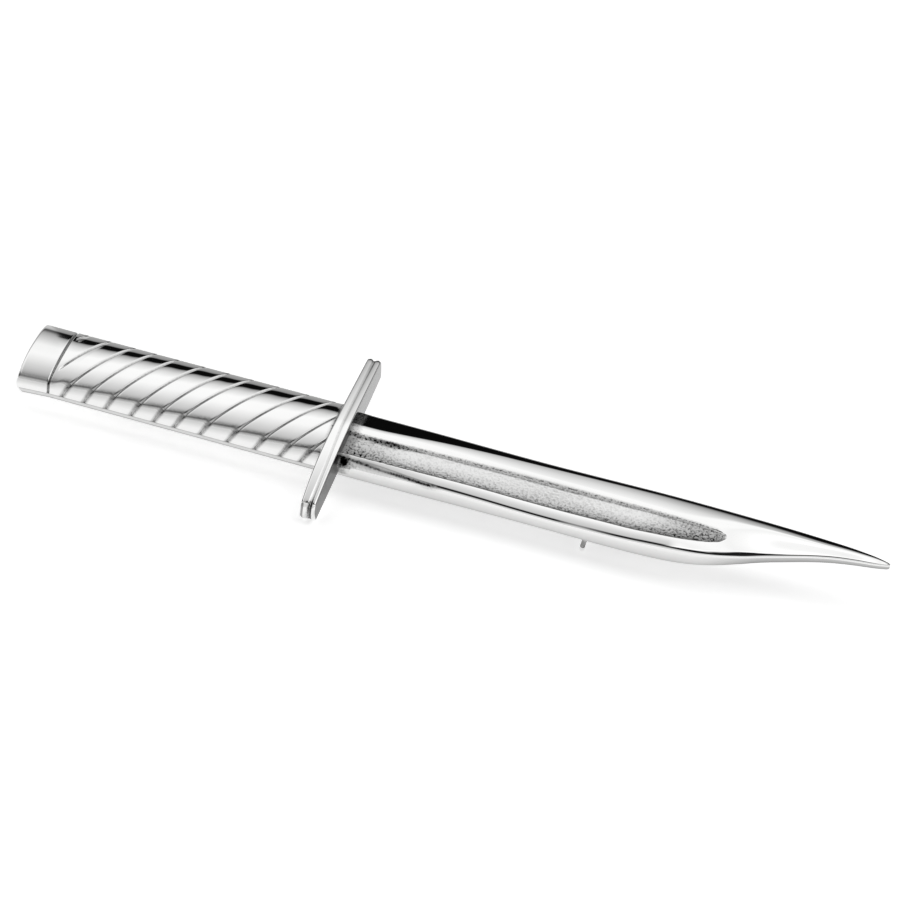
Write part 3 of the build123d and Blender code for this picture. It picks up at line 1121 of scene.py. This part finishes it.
# The wheel can't reach the root beside the guard. The cast skin stays there, with a dark
# pit at the near edge, another at the far edge and more along the fuller's far wall.
near_pit = (31.3, -3.4, 1.75)
near_pit_reach = (1.05, 0.25)
far_pit = (30.9, 2.5, 1.6)
far_pit_reach = (1.45, 0.75)
far_pit_mark = 0.5
wall_pit_x = 34.5
wall_pit_reach = (1.3, 0.3)
wall_pit_mark = 0.8
ragged_end = 36
ragged = np.zeros(points.shape[:2])
for index in zip(*np.nonzero(points[..., 0] < ragged_end)):
    spot = Vector(points[index])
    ragged[index] = noise.noise(spot * 1.6) + 0.5 * noise.noise(spot * 3.7)
along, across, up = (points[..., axis].copy() for axis in range(3))
from_pits = points - near_pit
from_pits[..., 0] *= np.where(from_pits[..., 0] > 0, 0.5, 1.1)
near_pits = np.linalg.norm(from_pits * (1, 1.3, 1.3), axis=-1) + 0.25 * ragged
far_pits = np.linalg.norm((points - far_pit) * (0.95, 1, 1), axis=-1) + 0.5 * ragged
wall_pits = np.abs(across - through(fuller_far, along) + 0.2) / 0.35
wall_pits += np.abs(along - wall_pit_x) / 3.5 + 9 * (up < 1.3)
# The pitted mark also carries the painted shade of the line along the shoulder.
pitted = np.maximum(shoulder_shade, rise(*near_pit_reach, near_pits))
pitted = np.maximum(pitted, far_pit_mark * rise(*far_pit_reach, far_pits))
pitted = np.maximum(pitted, wall_pit_mark * rise(*wall_pit_reach, wall_pits))
cast = rise(*cast_skin_ends, along + 0.25 * ragged + 0.04 * across) * (up > 0.3)

# Painted shade darkens the near flank down to its foot, and all of it towards the tip.
flank_rows = near_flank.shape[1]
tip_flank_shade = 0.50
low_flank_shade = [*np.linspace(0.6, 1, 4)[::-1], 0.60, 0.36, 0.26, 0.16, 0.08]
foot = np.zeros(points.shape[:2])
foot[:, : len(low_flank_shade)] = low_flank_shade
foot[:, :flank_rows] += tip_flank_shade * rise(*tip_flank_darkens, along[:, :flank_rows])
foot[:, -1] = foot[:, 0]

# What isn't polished is left grainy.
matt_grain = 0.008
fuller_shade_grain = 0.018
pit_grain = 0.01
for index in zip(*np.nonzero((matt > 0) | (pitted > 0))):
    spot = Vector(points[index])
    grain = noise.noise(spot * 4.5) + 0.6 * noise.noise(spot * 9.5)
    rough = matt_grain * matt[index] + fuller_shade_grain * min(1, tarnish[index])
    points[index][2] += grain * (rough + pit_grain * pitted[index])
blade = skin("blade", points)
mark(blade, "matt", matt)
mark(blade, "tarnish", tarnish)
mark(blade, "pitted", pitted)
mark(blade, "cast", cast)
mark(blade, "foot", foot)
close_up(blade)
# The marks on the fuller's floor, along the shoulder line and down the near flank carry painted
# shade.
blade_silver = silver(
    "blade_silver",
    (
        ("matt", 0.0, 0.14, 0.26, 0.030),
        ("tarnish", 0.36, 0.42, 0.06, 0.030),
        ("pitted", 0.58, 0.45, 0.10, 0.008),
        ("cast", 0.30, 0.24, 0.22, 0.010),
        ("foot", 0.50, 0.0, 0.10, 0.0),
    ),
)
lay_down(blade, blade_silver)


# The hinge: a stamped silver foot with two ears, soldered to the back of the grip. The
# rivet of the stem goes through both ears.
hinge_x = 9.0
fitting_y = 0.40
hinge_half = 1.0
hinge_foot_half = 1.5
rivet_hole_radius = 0.41
ear_thickness = 0.42
ear_radius = 1.15
pivot_z = -1.65
foot_thickness = 0.35
into_foot = 0.1
edge_round = 0.06
hinge_drill_length = 3


def block(name, low, high):
    """A box between two corners."""
    low, high = Vector(low), Vector(high)
    bpy.ops.object.select_all(action="DESELECT")
    bpy.ops.mesh.primitive_cube_add(size=1, location=(low + high) / 2, scale=high - low)
    bpy.context.object.name = name
    bpy.ops.object.transform_apply(location=True, rotation=False, scale=True)
    return bpy.context.object


def rod(centre, radius, length, axis):
    """A round rod along the X, Y or Z axis."""
    turns = {"X": (0, math.pi / 2, 0), "Y": (math.pi / 2, 0, 0), "Z": (0, 0, 0)}
    bpy.ops.object.select_all(action="DESELECT")
    bpy.ops.mesh.primitive_cylinder_add(
        vertices=64, radius=radius, depth=length, location=centre, rotation=turns[axis]
    )
    bpy.ops.object.transform_apply(location=True, rotation=True, scale=False)
    return bpy.context.object


def combine(body, tool, operation="UNION"):
    """Add the tool to the body, or cut it out, and remove the tool."""
    bpy.ops.object.select_all(action="DESELECT")
    bpy.context.view_layer.objects.active = body
    body.select_set(True)
    change = body.modifiers.new("change", "BOOLEAN")
    change.operation = operation
    change.solver = "EXACT"
    change.object = tool
    bpy.ops.object.modifier_apply(modifier="change")
    bpy.data.objects.remove(tool)


def soften(piece, width):
    """Round the piece's sharp edges."""
    bpy.ops.object.modifier_add(type="BEVEL")
    bevel = piece.modifiers["Bevel"]
    bevel.width = width
    bevel.segments = 3
    bevel.limit_method = "ANGLE"
    bevel.angle_limit = math.radians(40)
    bpy.ops.object.modifier_apply(modifier="Bevel")
    bpy.ops.object.shade_smooth_by_angle(angle=sharp_angle)


hinge = block(
    "hinge",
    (hinge_x - hinge_foot_half, fitting_y - hinge_half, -foot_thickness),
    (hinge_x + hinge_foot_half, fitting_y + hinge_half, foot_thickness),
)
for side in (-1, 1):
    outer = fitting_y + side * hinge_half
    inner = outer - side * ear_thickness
    low_y, high_y = sorted((outer, inner))
    ear = block(
        "ear", (hinge_x - ear_radius, low_y, pivot_z), (hinge_x + ear_radius, high_y, into_foot)
    )
    combine(ear, rod((hinge_x, (low_y + high_y) / 2, pivot_z), ear_radius, ear_thickness, "Y"))
    combine(hinge, ear)
drill = rod((hinge_x, fitting_y, pivot_z), rivet_hole_radius, hinge_drill_length, "Y")
combine(hinge, drill, "DIFFERENCE")
soften(hinge, edge_round)
fitting_silver = silver("fitting_silver")
lay_down(hinge, fitting_silver)


# The catch: a cast silver housing on a foot, soldered to the back of the blade. Its
# round lever ends in a small tongue that shows below the blade.
catch_x = 53.45
catch_z = -1.85
catch_half = 0.90
catch_radius = 1.20
catch_bore = 0.62
catch_drill_length = 4
neck_half_length = 0.88
neck_half_width = 0.55
lever_round = 0.225
lever_tip_y = -2.85
lever_half = 0.25
catch = block(
    "catch",
    (catch_x - catch_half, fitting_y - catch_radius, -foot_thickness),
    (catch_x + catch_half, fitting_y + catch_radius, foot_thickness),
)
neck = block(
    "neck",
    (catch_x - neck_half_length, fitting_y - neck_half_width, catch_z),
    (catch_x + neck_half_length, fitting_y + neck_half_width, into_foot),
)
combine(catch, neck)
combine(catch, rod((catch_x, fitting_y, catch_z), catch_radius, 2 * catch_half, "X"))
lever_end_y = lever_tip_y + lever_round
lever = block(
    "lever",
    (catch_x - lever_round, lever_end_y, catch_z - lever_half),
    (catch_x + lever_round, fitting_y, catch_z + lever_half),
)
combine(lever, rod((catch_x, lever_end_y, catch_z), lever_round, 2 * lever_half, "Z"))
combine(catch, lever)
drill = rod((catch_x, fitting_y, catch_z), catch_bore, catch_drill_length, "X")
combine(catch, drill, "DIFFERENCE")
soften(catch, edge_round)
lay_down(catch, fitting_silver)


# The stem: hard steel wire, drawn and burnished, with a flattened eye, the rivet that it
# turns on and a ground point.
wire_radius = 0.45
point_radius = 0.12
point_length = 14.0
past_catch = 1.70
eye_radius = 0.80
eye_thickness = 1.0
rivet_radius = 0.35
stem_edge_round = 0.05
steel_light = 0.58
steel_gloss = 0.22
steel_blue = 1.02
steel_streaks = 0.10
steel_relief = 0.002
stem_run = catch_x - hinge_x
stem_fall = catch_z - pivot_z
stem_length = math.hypot(stem_run, stem_fall) + past_catch
wire_length = stem_length - point_length
stem = rod((wire_length / 2, 0, 0), wire_radius, wire_length, "X")
stem.name = "stem"
bpy.ops.mesh.primitive_cone_add(
    vertices=64,
    radius1=wire_radius,
    radius2=point_radius,
    depth=point_length,
    location=(wire_length + point_length / 2, 0, 0),
    rotation=(0, math.pi / 2, 0),
)
bpy.ops.object.transform_apply(location=True, rotation=True, scale=False)
combine(stem, bpy.context.object)
stem.data.transform(Matrix.Rotation(math.atan2(-stem_fall, stem_run), 4, "Y"))
stem.data.transform(Matrix.Translation((hinge_x, fitting_y, pivot_z)))
combine(stem, rod((hinge_x, fitting_y, pivot_z), eye_radius, eye_thickness, "Y"))
combine(stem, rod((hinge_x, fitting_y, pivot_z), rivet_radius, 2 * hinge_half, "Y"))
soften(stem, stem_edge_round)


def burnished_steel():
    """Drawn steel wire: greyer than silver, with fine marks along it."""
    made = bpy.data.materials.new("burnished_steel")
    made.use_nodes = True
    made.node_tree.nodes.clear()
    start = Signal(made.node_tree)
    place = start.node("ShaderNodeTexCoord", output="Object")
    drawn = start.node("ShaderNodeMapping", {}, {"Vector": place, "Scale": (300.0, 9000.0, 9000.0)})
    marks = start.node("ShaderNodeTexNoise", {}, {"Vector": drawn, "Scale": 1.0, "Detail": 3.0})
    shade = (marks - 0.5) * steel_streaks + steel_light
    tone = start.node("ShaderNodeCombineColor", {}, {0: shade, 1: shade, 2: shade * steel_blue})
    bump = start.node(
        "ShaderNodeBump", {}, {"Strength": 1.0, "Distance": mm, "Height": marks * steel_relief}
    )
    surface = start.node(
        "ShaderNodeBsdfPrincipled",
        {},
        {
            "Base Color": tone,
            "Metallic": 1.0,
            "Roughness": (marks - 0.5) * steel_streaks + steel_gloss,
            "Normal": bump,
        },
    )
    start.node("ShaderNodeOutputMaterial", {}, {"Surface": surface})
    return made


lay_down(stem, burnished_steel(), "brooch_pin")
